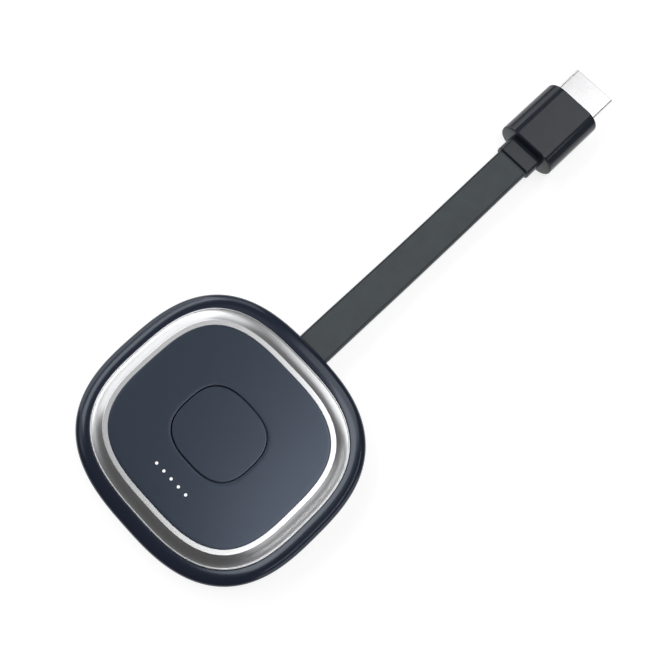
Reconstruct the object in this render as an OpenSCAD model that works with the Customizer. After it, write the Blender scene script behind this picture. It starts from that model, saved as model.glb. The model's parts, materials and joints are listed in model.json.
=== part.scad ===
// Wireless display adapter: a rounded-square puck with a press button and five
// lights, on a short flat cable that ends in a video plug.
// The origin is on the table under the middle of the puck, with the cable along +Y.

/* [Puck outline] */
// Width of the puck across the cable, at its widest line
puck_w = 71.5; // [69:0.1:76]
// Length of the puck along the cable, at its widest line
puck_l = 66.1; // [64:0.1:70]
// How square the widest line is: 2 is an ellipse and larger is squarer
outline_power = 2.73; // [2.6:0.01:3]
// How square the edge of the face is
face_power = 3.1; // [2.9:0.01:3.4]
// Width of the glossy rim, seen from above
rim_w = 4.2; // [3.8:0.1:4.6]
// Width of the silver ring, seen from above
ring_w = 4.9; // [4.7:0.1:5.4]

/* [Puck heights] */
// Height of the widest line above the table
wide_z = 6.8; // [6.6:0.1:7.2]
// Height of the parting line of the two shells
parting_z = 4.6; // [4.4:0.1:4.8]
// How far the foot stands out of the base
foot_proud = 0.6; // [0.4:0.1:0.8]
// Rise of the ring's outer edge over the widest line
ring_rise = 1.75; // [1.6:0.05:2]
// Rise of the face's edge over the widest line
face_rise = 3.1; // [3:0.05:3.4]
// Rise of the middle of the face over its edge
crown = 0.3; // [0:0.05:0.6]

/* [Shells] */
// Wall of the bottom shell
wall = 1.5; // [1.2:0.1:1.7]
// How far the underside curves in from the widest line
under_w = 7.8; // [7:0.1:8.4]
// Wall of the top shell beside the board
rim_wall = 1.9; // [1.7:0.1:2.1]
// Thickness of the deck under the face plate
deck_t = 1.1; // [0.9:0.1:1.2]
// Thickness of the face plate
face_t = 1.3; // [1.2:0.1:1.4]
// Depth of the channel that holds the silver ring
channel_d = 0.85; // [0.7:0.05:1]
// Width of the lip that lines up the two shells
lip_w = 0.8; // [0.6:0.1:1]
// Height of that lip over the parting line
lip_h = 0.7; // [0.5:0.1:0.8]
// Width of the ribs inside the shells
rib_w = 1; // [0.8:0.1:1.2]

/* [Silver ring] */
// Width of the bright band beside the face
band_w = 1.45; // [1.2:0.05:1.7]
// How far that band slopes down to the face
band_drop = 0.2; // [0.1:0.05:0.3]
// Width of the bead at the ring's outer edge
bead_w = 0.5; // [0.4:0.05:0.7]
// Height of that bead over the rim
bead_h = 0.15; // [0.1:0.05:0.2]

/* [Button] */
// Width of the button between the middles of its groove
button_w = 23.8; // [22:0.1:25]
// Length of the button between the middles of its groove
button_l = 21; // [20:0.1:22]
// How square the button is
button_power = 2.76; // [2.6:0.01:3]
// Width of the groove round the button
groove_w = 0.4; // [0.3:0.05:0.5]
// Thickness of the button's top
button_t = 1.4; // [1.2:0.1:1.6]
// How far the button's flange reaches under the deck
flange_w = 1; // [0.8:0.1:1.2]
// Thickness of that flange
flange_t = 0.7; // [0.6:0.1:0.8]
// How far the button travels
press_travel = 0.3; // [0.2:0.05:0.35]

/* [Lights] */
// Number of lights
light_count = 5; // [3:1:6]
// Distance between lights
light_pitch = 2.75; // [2.4:0.05:2.9]
// Place of the row: 0 at the button's groove, 1 at the face's edge
light_share = 0.43; // [0.3:0.01:0.6]
// Diameter of each light
light_d = 0.75; // [0.6:0.05:0.9]

/* [Board and screws] */
// Thickness of the main board
board_t = 1; // [0.8:0.1:1.1]
// Height of the board over the floor
standoff_h = 1.1; // [1:0.1:1.2]
// How far the board's edge lies inside the widest line
board_inset = 5.2; // [5:0.1:6]
// Diameter of the case screws
screw_d = 2; // [1.8:0.1:2.2]
// Diameter of their heads
head_d = 3.5; // [3.3:0.1:3.7]
// Thickness of their heads
head_h = 0.9; // [0.8:0.1:1]
// Length of their shanks
screw_l = 4.4; // [4:0.1:4.6]

/* [Foot] */
// How far the foot's outer edge lies inside the widest line
foot_inset = 9.6; // [9.2:0.1:10.2]
// Width of the foot
foot_w = 4.4; // [4.2:0.1:5]
// Depth of the groove that holds the foot
foot_sink = 0.8; // [0.6:0.1:0.9]

/* [Cable] */
// Width of the flat cable
cable_w = 10.1; // [9:0.1:10.4]
// Thickness of the flat cable
cable_t = 2.4; // [2.2:0.1:2.8]
// Rounding of its edges
cable_edge = 0.5; // [0.4:0.1:0.8]
// Height of the cable where it leaves the puck
cable_z = 4.9; // [4.8:0.1:5]
// Rubber round the cable in the wall of the puck
grommet_wall = 0.35; // [0.3:0.05:0.4]

/* [Plug] */
// Width of the plug's moulded body
plug_w = 18.6; // [17.5:0.1:20]
// Height of the plug's moulded body
plug_h = 8.8; // [8.4:0.1:9.6]
// Length of the plug's moulded body
plug_l = 20; // [19:0.1:24]
// How far the rounded sides reach in from the body's widest line
side_w = 4.6; // [4:0.1:4.8]
// Rounding at the ends of the body
end_round = 0.5; // [0.3:0.1:0.8]
// Width of the collar behind the body
collar_w = 11.8; // [11.4:0.1:13]
// Height of the collar
collar_h = 3.9; // [3.8:0.1:4.6]
// Length of the collar
collar_l = 5.5; // [4.6:0.1:6.4]
// How far the rounded sides reach in from the collar's widest line
collar_side = 1.25; // [1:0.05:1.4]
// Width of the metal shell
shell_w = 13.9; // [13.8:0.05:14]
// Height of the metal shell
shell_h = 4.45; // [4.4:0.05:4.55]
// Sheet thickness of the metal shell
shell_t = 0.3; // [0.25:0.05:0.35]
// How far the metal shell stands out of the body
shell_out = 9.1; // [9:0.1:11]
// How far the metal shell reaches into the body
shell_in = 6; // [5:0.1:7]

/* [Power socket] */
// Width of the socket's metal shell
socket_w = 8.94; // [8.9:0.01:9]
// Height of the socket's metal shell
socket_h = 3.16; // [3.1:0.01:3.2]
// Length of the socket's metal shell
socket_l = 7.4; // [7:0.1:8]
// Sheet thickness of the socket's shell
socket_t = 0.25; // [0.2:0.01:0.3]
// How far the socket's mouth lies inside the widest line
socket_inset = 2.7; // [2.5:0.1:3]
// Room between the socket's shell and the opening in the case
socket_room = 0.35; // [0.3:0.05:0.4]

/* [Hidden] */

// Points round each loop of the puck, and round the button
loop_steps = 72;
button_steps = 48;
// Steps in each curved stretch of a profile
curve_steps = 6;
$fn = 48;

// Overrun of every cut, and how deep an added form is let into its wall
over = 1;
bite = 0.4;
// Gap between pieces that are pushed together, and between a screw and its pilot
fit = 0.05;
// Gap between pieces that only lie beside each other
room = 0.15;

// Widths and heights that follow from the sizes above
base_z = foot_proud;
floor_z = base_z + wall;
board_z = floor_z + standoff_h;
board_top = board_z + board_t;
under_h = wide_z - base_z;
ring_z = wide_z + ring_rise;
face_z = wide_z + face_rise;
deck_z = face_z - face_t;
ceiling_z = deck_z - deck_t;
channel_z = ring_z - channel_d;
face_inset = rim_w + ring_w;
foot_mid = foot_inset + foot_w / 2;
foot_top = base_z + foot_sink;
board_half = [puck_w / 2 - board_inset, puck_l / 2 - board_inset];
groove_y = button_l / 2 + groove_w / 2;
light_y = groove_y + light_share * (puck_l / 2 - face_inset - groove_y);

// Rounded square of half sizes hx and hy: the coordinates are powers of cosine and sine
function bent(v, power) = sign(v) * pow(abs(v), 2 / power);
function rounded(hx, hy, power, z, n) =
    [for (k = [0 : n - 1]) [hx * bent(cos(360 * k / n), power), hy * bent(sin(360 * k / n), power), z]];
// The outline grows squarer from the widest line to the edge of the face
function power_at(inset) =
    outline_power + (face_power - outline_power) * min(1, inset / face_inset);
// A loop round the puck at a profile point [inset, height]
function puck_loop(p) =
    rounded(puck_w / 2 - p[0], puck_l / 2 - p[0], power_at(p[0]), p[1], loop_steps);
function flat(points) = [for (p = points) [p[0], p[1]]];
// A point of the rounded underside at angle a from the widest line, drawn in by a thickness t
function under(a, t = 0) = [under_w - (under_w - t) * cos(a), wide_z - (under_h - t) * sin(a)];
function part_angle(t = 0) = asin((wide_z - parting_z) / (under_h - t));

// A solid through a row of loops: a closed ring of them, or a stack with a cap at each end
module skin(loops, closed = false) {
    n = len(loops[0]);
    m = len(loops);
    polyhedron(
        points = [for (loop = loops) each loop],
        faces = concat(
            [for (i = [0 : m - (closed ? 1 : 2)], k = [0 : n - 1], half = [0, 1])
                let (j = (i + 1) % m, q = (k + 1) % n)
                half == 0 ? [i * n + k, j * n + k, j * n + q] : [i * n + k, j * n + q, i * n + q]],
            closed ? [] : [[for (k = [0 : n - 1]) k], [for (k = [n - 1 : -1 : 0]) (m - 1) * n + k]]));
}

// A straight-sided block of the puck's outline at an inset, between two heights
module puck_block(inset, z0, z1) {
    translate([0, 0, z0]) linear_extrude(z1 - z0) polygon(flat(puck_loop([inset, 0])));
}

module button_block(grow, z0, z1) {
    translate([0, 0, z0]) linear_extrude(z1 - z0)
        polygon(flat(rounded(button_w / 2 + grow, button_l / 2 + grow, button_power, 0, button_steps)));
}

// A block of size [x, y, z], centred at [x, y], standing on height z0
module block(size, at, z0) {
    translate([at[0] - size[0] / 2, at[1] - size[1] / 2, z0]) cube(size);
}

// Cylinder between two heights
module post(at, r, z0, z1) {
    translate([at[0], at[1], z0]) cylinder(r = r, h = z1 - z0);
}

// A bar along Y with half-round sides, centred on its axis
module slot_bar(w, h, y0, y1, z) {
    translate([0, y1, z]) rotate([90, 0, 0]) linear_extrude(y1 - y0)
        union() {
            square([w - h, h], center = true);
            for (s = [-1, 1]) translate([s * (w - h) / 2, 0]) circle(d = h);
        }
}

// The four screws stand at the corners of the foot, where it hides their heads
corner_share = pow(sqrt(1 / 2), 2 / face_power);
screw_x = (puck_w / 2 - foot_mid) * corner_share;
screw_y = (puck_l / 2 - foot_mid) * corner_share;
screw_places = [for (sx = [-1, 1], sy = [-1, 1]) [sx * screw_x, sy * screw_y]];
head_seat_z = foot_top + head_h + fit;
boss_wall = 1.1;
boss_r = head_d / 2 + boss_wall;
pillar_wall = 1.2;
pillar_r = screw_d / 2 + pillar_wall;

// The cable's way through the wall, which both shells share
neck_w = cable_w + 2 * grommet_wall;
neck_h = cable_t + 2 * grommet_wall;
exit_inset = 0.6;
exit_y = puck_l / 2 - exit_inset;
anchor_inset = 5.5;
anchor_y = puck_l / 2 - anchor_inset;
anchor_w = 14;
anchor_l = 2.8;
anchor_h = 3.2;

module cable_way() {
    translate([-neck_w / 2 - fit, anchor_y - over, cable_z - neck_h / 2 - fit])
        cube([neck_w + 2 * fit, anchor_inset + 2 * over, neck_h + 2 * fit]);
}

// The socket is let into a notch of the board, so its axis lies near the board's top
socket_drop = 0.2;
socket_z = board_top - socket_drop;
socket_y = -puck_l / 2 + socket_inset;

module socket_way() {
    slot_bar(socket_w + 2 * socket_room, socket_h + 2 * socket_room,
        -puck_l / 2 - over, -puck_l / 2 + under_w, socket_z);
}

// Pegs of the bottom shell that the board is pushed over
peg_r = 0.8;
peg_shoulder = 0.8;
peg_h = 0.6;
peg_x_share = 0.9;
peg_places = [for (s = [-1, 1]) [s * peg_x_share * board_half[0], 0]];
rib_rise = 0.6;
rib_reach_share = 0.8;
rib_count = 2;
rib_pitch = 12;

module bottom_shell() {
    outer = [for (i = [0 : curve_steps]) under(90 - (90 - part_angle()) * i / curve_steps)];
    lip_out = rim_wall + fit;
    lip = [[lip_out, parting_z], [lip_out, parting_z + lip_h],
        [lip_out + lip_w, parting_z + lip_h], [lip_out + lip_w, parting_z]];
    inner = [for (i = [1 : curve_steps])
        under(part_angle(wall) + (90 - part_angle(wall)) * i / curve_steps, wall)];
    reach_x = (puck_w / 2 - under_w) * rib_reach_share;
    reach_y = (puck_l / 2 - under_w) * rib_reach_share;
    color([0.10, 0.12, 0.16]) difference() {
        union() {
            skin([for (p = concat(outer, lip, inner)) puck_loop(p)]);
            for (at = screw_places) post(at, boss_r, floor_z - bite, board_z);
            for (at = peg_places) {
                post(at, peg_r + peg_shoulder, floor_z - bite, board_z);
                post(at, peg_r, board_z - bite, board_top + peg_h);
            }
            // Stiffening ribs across the floor, lower than the board
            for (i = [-rib_count : rib_count]) {
                block([rib_w, 2 * reach_y, rib_rise + bite], [i * rib_pitch, 0], floor_z - bite);
                block([2 * reach_x, rib_w, rib_rise + bite], [0, i * rib_pitch * reach_y / reach_x],
                    floor_z - bite);
            }
            // Two posts that hold the shoulders of the cable's anchor
            for (s = [-1, 1])
                block([(anchor_w - neck_w) / 2 + rib_w, rib_w, cable_z + anchor_h / 2 - floor_z + bite],
                    [s * (neck_w / 2 + fit + ((anchor_w - neck_w) / 2 + rib_w) / 2),
                        anchor_y + fit + rib_w / 2], floor_z - bite);
        }
        difference() {
            puck_block(foot_inset - fit, base_z - over, foot_top);
            puck_block(foot_inset + foot_w + fit, base_z - 2 * over, foot_top + over);
        }
        for (at = screw_places) {
            post(at, head_d / 2 + room, base_z - over, head_seat_z);
            post(at, screw_d / 2 + room, base_z - over, board_z + over);
        }
        cable_way();
        socket_way();
    }
}

// The top shell: a rounded rim, a channel for the ring, and a deck under the face
channel_slope = 2;
module top_shell() {
    inner = [
        [face_inset - deck_t, ceiling_z],
        [rim_w + channel_slope / 2 - deck_t / 2, channel_z - deck_t],
        [rim_wall + deck_t, channel_z - deck_t],
        [rim_wall, channel_z - 2 * deck_t],
        [rim_wall, parting_z]];
    side = [for (i = [0 : curve_steps / 2]) under(part_angle() * (1 - 2 * i / curve_steps))];
    rim = [for (i = [1 : curve_steps]) let (a = 90 * i / curve_steps)
        [rim_w * (1 - cos(a)), wide_z + ring_rise * sin(a)]];
    channel = [[rim_w, channel_z], [rim_w + ring_w - channel_slope * 3 / 2, channel_z],
        [rim_w + ring_w - channel_slope / 2, deck_z]];
    color([0.13, 0.15, 0.21]) difference() {
        union() {
            skin([for (p = concat(inner, side, rim, channel)) puck_loop(p)]);
            for (at = screw_places) post(at, pillar_r, board_top, ceiling_z + bite);
        }
        button_block(groove_w / 2, ceiling_z - over, deck_z + over);
        for (at = screw_places) post(at, screw_d / 2 + fit, board_top - over, board_z + screw_l + room);
        light_row(light_d / 2 + fit, ceiling_z - over, deck_z + over);
        cable_way();
        socket_way();
    }
}

// The silver ring: an outer bead, a hollow cove, and a bright band that slopes to the face
module silver_ring() {
    out = rim_w + fit;
    cove_w = ring_w - bead_w - band_w;
    cove_h = face_z + band_drop - ring_z;
    bead = [[out, channel_z], [out, ring_z], [rim_w + bead_w / 3, ring_z + bead_h],
        [rim_w + bead_w * 2 / 3, ring_z + bead_h], [rim_w + bead_w, ring_z + bead_h / 3]];
    cove = [for (i = [1 : curve_steps]) let (a = 90 * i / curve_steps)
        [rim_w + bead_w + cove_w * sin(a), ring_z + bead_h / 3 + (cove_h - bead_h / 3) * (1 - cos(a))]];
    band = [[face_inset - band_w + bead_h, face_z + band_drop + bead_h / 3],
        [face_inset - fit, face_z + bead_h / 3], [face_inset, face_z - bead_h / 3],
        [face_inset, deck_z], [rim_w + ring_w - channel_slope / 2, deck_z],
        [rim_w + ring_w - channel_slope * 3 / 2, channel_z]];
    color([0.80, 0.80, 0.82])
        skin([for (p = concat(bead, cove, band)) puck_loop(p)], closed = true);
}

// Loops of the face between its edge, at share 0, and the groove, at share 1
face_shares = [0.2, 0.45, 0.7];
face_edge = 0.15;
function face_half(s, grow) = [
    (puck_w / 2 - face_inset) * (1 - s) + (button_w / 2 + groove_w / 2) * s - grow,
    (puck_l / 2 - face_inset) * (1 - s) + (button_l / 2 + groove_w / 2) * s - grow];
function face_loop(s, grow, z) = let (h = face_half(s, grow))
    rounded(h[0], h[1], face_power * (1 - s) + button_power * s, z, loop_steps);
// Height of the crowned face at a distance from its middle along Y
function face_height(y) = face_z + crown * (1 - pow(2 * y / (puck_l - 2 * face_inset), 2));

module face_plate() {
    edge = fit + face_edge;
    loops = concat(
        [face_loop(1, 0, deck_z), face_loop(0, fit, deck_z), face_loop(0, fit, face_z - face_edge),
            face_loop(0, edge, face_z)],
        [for (s = face_shares) face_loop(s, 0, face_height(face_half(s, 0)[1]))],
        [face_loop(1, -face_edge, face_height(button_l / 2)),
            face_loop(1, 0, face_height(button_l / 2) - face_edge)]);
    color([0.25, 0.28, 0.33]) difference() {
        skin(loops, closed = true);
        light_row(light_d / 2 + fit, deck_z - over, face_z + crown + over);
    }
}

// One post for each light, between two heights
module light_row(r, z0, z1) {
    for (i = [0 : light_count - 1])
        post([(i - (light_count - 1) / 2) * light_pitch, -light_y], r, z0, z1);
}

// The button, hollow below, with a flange under the deck and a stem over the switch
switch_size = [6, 6, 1.7];
cover_t = 0.15;
plunger_rise = 2 * press_travel;
plunger_top = board_top + switch_size[2] + cover_t + plunger_rise;
stem_r = 1.8;
button_wall = 1.2;
button_shares = [0.9, 0.6, 0.3];
rest_gap = 0.1;

module button_cap() {
    hx = button_w / 2 - groove_w / 2;
    hy = button_l / 2 - groove_w / 2;
    top_z = ceiling_z - rest_gap;
    function ring_at(grow, z) = rounded(hx + grow, hy + grow, button_power, z, button_steps);
    function dome_at(s) = rounded(hx * s, hy * s, button_power, face_height(hy * s), button_steps);
    inside_z = face_z - button_t;
    color([0.25, 0.28, 0.33]) union() {
        skin(concat(
            [ring_at(-button_wall, inside_z), ring_at(-button_wall, top_z - flange_t),
                ring_at(flange_w, top_z - flange_t), ring_at(flange_w, top_z), ring_at(0, top_z),
                ring_at(0, face_height(hy) - face_edge), ring_at(-face_edge, face_height(hy))],
            [for (s = button_shares) dome_at(s)]));
        post([0, 0], stem_r, plunger_top, inside_z + bite);
    }
}

// The switch under the button: a base, a sprung metal dome, a plunger and a metal cover
switch_floor = 0.6;
switch_well_r = 2.4;
dome_r = 2.3;
dome_rest = 0.2;
dome_h = press_travel + dome_rest;
dome_t = 0.08;
dome_z = board_top + switch_floor;
plunger_r = 1.3;
plunger_foot_r = 2.1;
plunger_foot_h = 0.5;

module switch_base() {
    color([0.12, 0.12, 0.12]) difference() {
        block(switch_size, [0, 0], board_top);
        post([0, 0], switch_well_r, dome_z, board_top + switch_size[2] + over);
    }
}

module switch_dome() {
    // A cap of a ball: its radius follows from the dome's width and height
    ball_r = (dome_r * dome_r + dome_h * dome_h) / (2 * dome_h);
    color([0.75, 0.72, 0.62]) intersection() {
        translate([0, 0, dome_z + dome_h - ball_r]) difference() {
            sphere(r = ball_r);
            sphere(r = ball_r - dome_t);
        }
        post([0, 0], dome_r, dome_z, dome_z + dome_h + over);
    }
}

module switch_plunger() {
    foot_z = dome_z + dome_h;
    color([0.85, 0.85, 0.80]) union() {
        post([0, 0], plunger_foot_r, foot_z, foot_z + plunger_foot_h);
        post([0, 0], plunger_r, foot_z, plunger_top);
    }
}

module switch_cover() {
    color([0.78, 0.78, 0.80]) difference() {
        block([switch_size[0], switch_size[1], cover_t], [0, 0], board_top + switch_size[2]);
        post([0, 0], plunger_r + room, board_top, plunger_top);
    }
}

// The light guide: a bar under the deck with a clear pin for each light
guide_w = 2.4;
guide_t = 0.9;
light_size = [1, 1, 0.5];
guide_leg_gap = 0.2;

module light_guide() {
    bar_l = (light_count - 1) * light_pitch + guide_w;
    color([0.95, 0.96, 0.98]) union() {
        block([bar_l, guide_w, guide_t], [0, -light_y], ceiling_z - guide_t);
        light_row(light_d / 2, ceiling_z - bite, face_height(light_y) - fit);
        light_row(light_size[0] / 2, board_top + light_size[2] + guide_leg_gap, ceiling_z - guide_t + bite);
    }
}

module indicator_lights() {
    color([0.95, 0.95, 0.85]) for (i = [0 : light_count - 1])
        block(light_size, [(i - (light_count - 1) / 2) * light_pitch, -light_y], board_top);
}

// The board: notched for the cable's anchor and the socket, and drilled for screws and pegs
board_notch_w = anchor_w + 2 * (rib_w + fit + room);
module main_board() {
    color([0.08, 0.32, 0.20]) difference() {
        puck_block(board_inset, board_z, board_top);
        for (at = screw_places) post(at, screw_d / 2 + room, board_z - over, board_top + over);
        for (at = peg_places) post(at, peg_r + fit, board_z - over, board_top + over);
        translate([-board_notch_w / 2, anchor_y - anchor_l - room, board_z - over])
            cube([board_notch_w, puck_l, board_t + 2 * over]);
        translate([-socket_w / 2 - room, socket_y - over, board_z - over])
            cube([socket_w + 2 * room, socket_l + over + room, board_t + 2 * over]);
    }
}

// Chips and small parts on the board. A place is a share of the board's half sizes, so that
// the parts keep clear of the pillars, the pegs and each other on a smaller or larger puck.
function on_board(share) = [share[0] * board_half[0], share[1] * board_half[1]];
processor_size = [9.6, 10, 1];
processor_share = [-0.602, 0.108];
processor_at = on_board(processor_share);
pad_t = 0.5;
spreader_size = [11, 15, 0.6];
memory_size = [9, 7, 1];
flash_size = [5.2, 4, 0.9];
flash_share = [-0.308, 0.5];
flash_at = on_board(flash_share);
power_chip_size = [3, 3, 0.8];
power_chip_share = [0.344, -0.783];
power_chip_at = on_board(power_chip_share);
coil_size = [4.2, 4.2, 1.8];
coil_share = [0.376, -0.571];
coil_at = on_board(coil_share);
coil_core_share = 0.8;
crystal_size = [3.2, 2.5, 0.7];
crystal_share = [-0.347, -0.625];
crystal_at = on_board(crystal_share);
capacitor_size = [1, 0.5, 0.5];
capacitor_count = 5;
capacitor_pitch = 1.6;
capacitor_gap = 1;
radio_size = [11, 14, 0.8];
radio_share = [0.629, 0.072];
radio_at = on_board(radio_share);
radio_shield_size = [9.6, 11, 1.5];
radio_shield_t = 0.2;
pin_size = [0.35, 0.9, 0.15];
pin_pitch = 1.27;

module chip(size, at) {
    block(size, at, board_top);
}

module processor() {
    color([0.13, 0.13, 0.14]) chip(processor_size, processor_at);
}

module thermal_pad() {
    color([0.55, 0.62, 0.70]) block([processor_size[0], processor_size[1], pad_t],
        processor_at, board_top + processor_size[2]);
}

// Stamped plate on the pad, with a folded edge along its outer side
module heat_spreader() {
    z = board_top + processor_size[2] + pad_t;
    color([0.72, 0.73, 0.75]) union() {
        block(spreader_size, processor_at, z);
        block([spreader_size[2], spreader_size[1], spreader_size[2] + pad_t],
            [processor_at[0] - spreader_size[0] / 2 + spreader_size[2] / 2, processor_at[1]], z - pad_t);
    }
}

// Midway between the processor and the pillar of the screw
module memory_chip() {
    near_y = processor_at[1] - processor_size[1] / 2;
    far_y = pillar_r - screw_y;
    color([0.15, 0.15, 0.16]) chip(memory_size, [processor_at[0], (near_y + far_y) / 2]);
}

// A chip with a row of pins along its two long sides
module flash_chip() {
    color([0.14, 0.14, 0.15]) union() {
        chip(flash_size, flash_at);
        for (i = [-1.5 : 1 : 1.5], s = [-1, 1])
            block(pin_size, [flash_at[0] + i * pin_pitch,
                flash_at[1] + s * (flash_size[1] / 2 + pin_size[1] / 4)], board_top);
    }
}

module power_chip() {
    color([0.14, 0.14, 0.15]) chip(power_chip_size, power_chip_at);
}

module power_coil() {
    color([0.35, 0.34, 0.33]) union() {
        chip([coil_size[0], coil_size[1], coil_size[2] / 2], coil_at);
        post(coil_at, coil_size[0] * coil_core_share / 2, board_top, board_top + coil_size[2]);
    }
}

// Two rows of capacitors, beside the processor and beside the power chip
module small_capacitors() {
    color([0.65, 0.52, 0.36]) for (i = [0 : capacitor_count - 1]) {
        block(capacitor_size, [processor_at[0] + (i - (capacitor_count - 1) / 2) * capacitor_pitch,
            processor_at[1] + processor_size[1] / 2 + capacitor_gap], board_top);
        block(capacitor_size, [power_chip_at[0] + power_chip_size[0] / 2 + capacitor_gap,
            power_chip_at[1] + (i - (capacitor_count - 1) / 2) * capacitor_size[0]], board_top);
    }
}

module crystal() {
    color([0.80, 0.80, 0.82]) chip(crystal_size, crystal_at);
}

module radio_board() {
    color([0.06, 0.20, 0.35]) chip(radio_size, radio_at);
}

// Shield can: a thin metal lid, open below, over the radio's chips
module radio_shield() {
    z = board_top + radio_size[2];
    color([0.76, 0.77, 0.78]) difference() {
        block(radio_shield_size, radio_at, z);
        block([radio_shield_size[0] - 2 * radio_shield_t, radio_shield_size[1] - 2 * radio_shield_t,
            radio_shield_size[2]], radio_at, z - radio_shield_t);
    }
}

// Stamped antennas: a strip held over the board by two legs, one on each side of the puck
antenna_size = [1.8, 12, 0.3];
antenna_rise = 1.6;
antenna_x_share = 0.9;
antenna_y = 8.5;
antenna_leg_share = 0.7;

module antenna(side) {
    x = side * antenna_x_share * board_half[0];
    color([0.80, 0.68, 0.45]) union() {
        block(antenna_size, [x, -antenna_y], board_top + antenna_rise);
        for (y = [-antenna_y - antenna_leg_share * antenna_size[1] / 2,
                -antenna_y + antenna_size[1] / 2 - antenna_size[2] / 2])
            block([antenna_size[0], antenna_size[2], antenna_rise + antenna_size[2]], [x, y], board_top);
    }
}

module antenna_left() { antenna(-1); }

module antenna_right() { antenna(1); }

// The power socket: an oval metal shell, a tongue inside it, and contacts on the tongue
socket_ear = [2, 2, 0.4];
tongue_w = 6.2;
tongue_t = 0.7;
tongue_back = 1.6;
tongue_recess = 0.9;
socket_contact = [0.25, 3, 0.05];
socket_contacts = 6;
socket_contact_pitch = 0.9;

module power_socket_shell() {
    color([0.78, 0.79, 0.80]) difference() {
        union() {
            slot_bar(socket_w, socket_h, socket_y, socket_y + socket_l, socket_z);
            for (s = [-1, 1]) block([socket_ear[0] + room + bite, socket_ear[1], socket_ear[2]],
                [s * (socket_w / 2 + (socket_ear[0] + room - bite) / 2),
                    -puck_l / 2 + board_inset + socket_ear[1]], board_top);
        }
        slot_bar(socket_w - 2 * socket_t, socket_h - 2 * socket_t, socket_y - over,
            socket_y + socket_l + over, socket_z);
    }
}

module power_socket_tongue() {
    back_y = socket_y + socket_l - tongue_back;
    color([0.10, 0.10, 0.11]) union() {
        slot_bar(socket_w - 2 * socket_t, socket_h - 2 * socket_t, back_y, socket_y + socket_l, socket_z);
        translate([-tongue_w / 2, socket_y + tongue_recess, socket_z - tongue_t / 2])
            cube([tongue_w, back_y - socket_y - tongue_recess + bite, tongue_t]);
    }
}

module power_socket_contacts() {
    color([0.85, 0.68, 0.30]) for (i = [0 : socket_contacts - 1], s = [0, 1])
        translate([(i - (socket_contacts - 1) / 2) * socket_contact_pitch - socket_contact[0] / 2,
            socket_y + tongue_recess + socket_contact[0],
            s == 0 ? socket_z + tongue_t / 2 : socket_z - tongue_t / 2 - socket_contact[2]])
            cube(socket_contact);
}

// Case screws, driven from below through the bottom shell and the board into the pillars
drive_r = 0.8;
drive_d = 0.5;
module case_screws() {
    color([0.60, 0.60, 0.62]) for (at = screw_places) difference() {
        union() {
            post(at, head_d / 2, head_seat_z - head_h, head_seat_z);
            post(at, screw_d / 2, head_seat_z - head_h, board_z + screw_l);
        }
        for (a = [0, 90])
            translate([at[0], at[1], head_seat_z - head_h]) rotate([0, 0, a])
                cube([2 * drive_r, drive_d, 2 * drive_d], center = true);
    }
}

module foot_ring() {
    color([0.10, 0.10, 0.11]) difference() {
        puck_block(foot_inset, 0, foot_top);
        puck_block(foot_inset + foot_w, -over, foot_top + over);
    }
}

// Rubber round the cable's end: a neck in the wall and an anchor behind the two posts
module cable_grommet() {
    color([0.12, 0.12, 0.13]) union() {
        translate([-neck_w / 2, anchor_y - bite, cable_z - neck_h / 2])
            cube([neck_w, exit_y - anchor_y + bite, neck_h]);
        translate([-anchor_w / 2, anchor_y - anchor_l, cable_z - anchor_h / 2])
            cube([anchor_w, anchor_l, anchor_h]);
    }
}

// The header that takes the cable's conductors, and their flat tail
header_size = [13, 3.6, 1.6];
header_gap = 1.2;
tail_w = 9;
tail_t = 0.5;
header_y = anchor_y - anchor_l - header_gap - header_size[1] / 2;

module cable_header() {
    color([0.88, 0.87, 0.82]) difference() {
        block(header_size, [0, header_y], board_top);
        translate([-tail_w / 2 - fit, header_y, cable_z - tail_t / 2 - fit])
            cube([tail_w + 2 * fit, header_size[1], tail_t + 2 * fit]);
    }
}

module cable_tail() {
    color([0.75, 0.60, 0.40]) translate([-tail_w / 2, header_y, cable_z - tail_t / 2])
        cube([tail_w, anchor_y - anchor_l - header_y, tail_t]);
}

// The cable's route from the wall of the puck to the collar: distance along Y and height,
// both from the middle of the exit. It is held at both ends and sags a little between them.
route = [[0, 0], [4, 0], [8, -0.1], [13, -0.3], [18, -0.6], [23, -0.9], [28, -1.2], [33, -1.4],
    [38, -1.5], [43, -1.5], [48, -1.5], [53, -1.4], [58, -1.2], [63, -1], [68, -0.7], [73, -0.5],
    [79.8, -0.5]];
route_end = route[len(route) - 1];
plug_z = plug_h / 2;
collar_y = exit_y + route_end[0];
body_y = collar_y + collar_l;
tip_y = body_y + plug_l + shell_out;

// Direction of the route at a point, as a unit vector in Y and Z
function route_way(i) = let (
    a = route[max(0, i - 1)], b = route[min(len(route) - 1, i + 1)],
    d = i == 0 || i == len(route) - 1 ? [1, 0] : b - a) d / norm(d);
// A flat section with rounded edges, as points across and through the cable
edge_steps = 2;
function flat_section(w, t, r) = [for (c = [[1, 1, 0], [1, -1, 90], [-1, -1, 180], [-1, 1, 270]],
    i = [0 : edge_steps]) let (a = c[2] + 90 * i / edge_steps)
    [c[0] * (w / 2 - r) + r * sin(a), c[1] * (t / 2 - r) + r * cos(a)]];
function cable_loop(i) = let (d = route_way(i)) [for (p = flat_section(cable_w, cable_t, cable_edge))
    [p[0], exit_y + route[i][0] - d[1] * p[1], cable_z + route[i][1] + d[0] * p[1]]];

module cable() {
    color([0.28, 0.31, 0.33]) skin([for (i = [0 : len(route) - 1]) cable_loop(i)]);
}

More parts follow.
